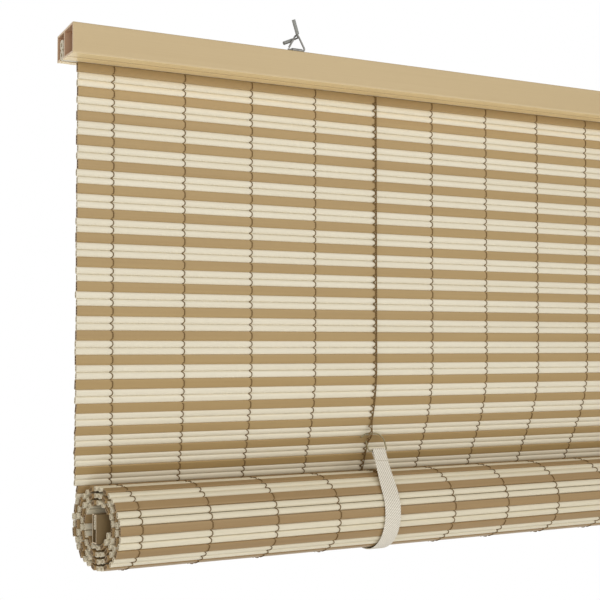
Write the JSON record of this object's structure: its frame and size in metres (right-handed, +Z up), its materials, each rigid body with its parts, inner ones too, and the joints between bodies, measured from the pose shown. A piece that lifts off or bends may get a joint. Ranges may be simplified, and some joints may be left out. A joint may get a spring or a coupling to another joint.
{
  "type": "roll-up slat shade",
  "caption": "Roll-up window shade of tan and cream hollow slats strung on twine under a boxed headrail, lower part rolled up and held by webbing straps with wire hooks.",
  "frame": {"origin": "middle of the headrail's flat rear face", "axes": "+X along the headrail to the right as seen from the room, -Y to the room, +Z up"},
  "size_m": [1.2741, 0.1078, 0.5688],
  "materials": {
    "rail_vinyl": "smooth extruded vinyl, satin",
    "tan_vinyl": "extruded vinyl, satin",
    "cream_vinyl": "extruded vinyl, satin",
    "twine": "twisted twine",
    "webbing": "cotton twill webbing",
    "zinc_wire": "zinc plated wire",
    "sleeve": "grey tubing"
  },
  "bodies": {
    "shade": {"headrail": "rail_vinyl", "top_rod_upper": "cream_vinyl", "top_rod_lower": "cream_vinyl", "hanging_tan_slats": "tan_vinyl", "hanging_cream_slats": "cream_vinyl", "rolled_tan_slats": "tan_vinyl", "rolled_cream_slats": "cream_vinyl", "bottom_rail": "rail_vinyl", "bottom_rod_upper": "cream_vinyl", "bottom_rod_lower": "cream_vinyl", "warp_strings": "twine", "ladder_cord_left": "twine", "ladder_cord_right": "twine", "strap_left": "webbing", "strap_right": "webbing", "hanger_clip_left": "zinc_wire", "hanger_clip_right": "zinc_wire", "clip_rivet_left": "zinc_wire", "clip_rivet_right": "zinc_wire"},
    "bail_left": {"hanger_bail_left": "zinc_wire"},
    "bail_right": {"hanger_bail_right": "zinc_wire"},
    "swing_hook_left": {"hanger_hook_left": "zinc_wire", "hook_sleeve_upper_left": "sleeve", "hook_sleeve_lower_left": "sleeve"},
    "swing_hook_right": {"hanger_hook_right": "zinc_wire", "hook_sleeve_upper_right": "sleeve", "hook_sleeve_lower_right": "sleeve"},
    "catch_left": {"strap_hook_left": "zinc_wire"},
    "catch_right": {"strap_hook_right": "zinc_wire"}
  },
  "joints": [
    {"name": "bail_left_swing", "type": "hinge", "parent": "shade", "child": "bail_left", "pos_m": [-0.382, -0.04484, 0.01859], "axis": [1, 0, 0], "range_deg": [-50, 70]},
    {"name": "bail_right_swing", "type": "hinge", "parent": "shade", "child": "bail_right", "pos_m": [0.382, -0.04484, 0.01859], "axis": [1, 0, 0], "range_deg": [-50, 70]},
    {"name": "hook_left_swing", "type": "hinge", "parent": "bail_left", "child": "swing_hook_left", "pos_m": [-0.382, -0.04484, 0.03142], "axis": [0, 1, 0], "range_deg": [-6, 40]},
    {"name": "hook_right_swing", "type": "hinge", "parent": "bail_right", "child": "swing_hook_right", "pos_m": [0.382, -0.04484, 0.03142], "axis": [0, 1, 0], "range_deg": [-6, 40]},
    {"name": "catch_left_swing", "type": "hinge", "parent": "shade", "child": "catch_left", "pos_m": [-0.25817, -0.00506, -0.40815], "axis": [1, 0, 0], "range_deg": [-4, 4]},
    {"name": "catch_right_swing", "type": "hinge", "parent": "shade", "child": "catch_right", "pos_m": [0.27278, -0.00506, -0.40815], "axis": [1, 0, 0], "range_deg": [-4, 4]}
  ]
}
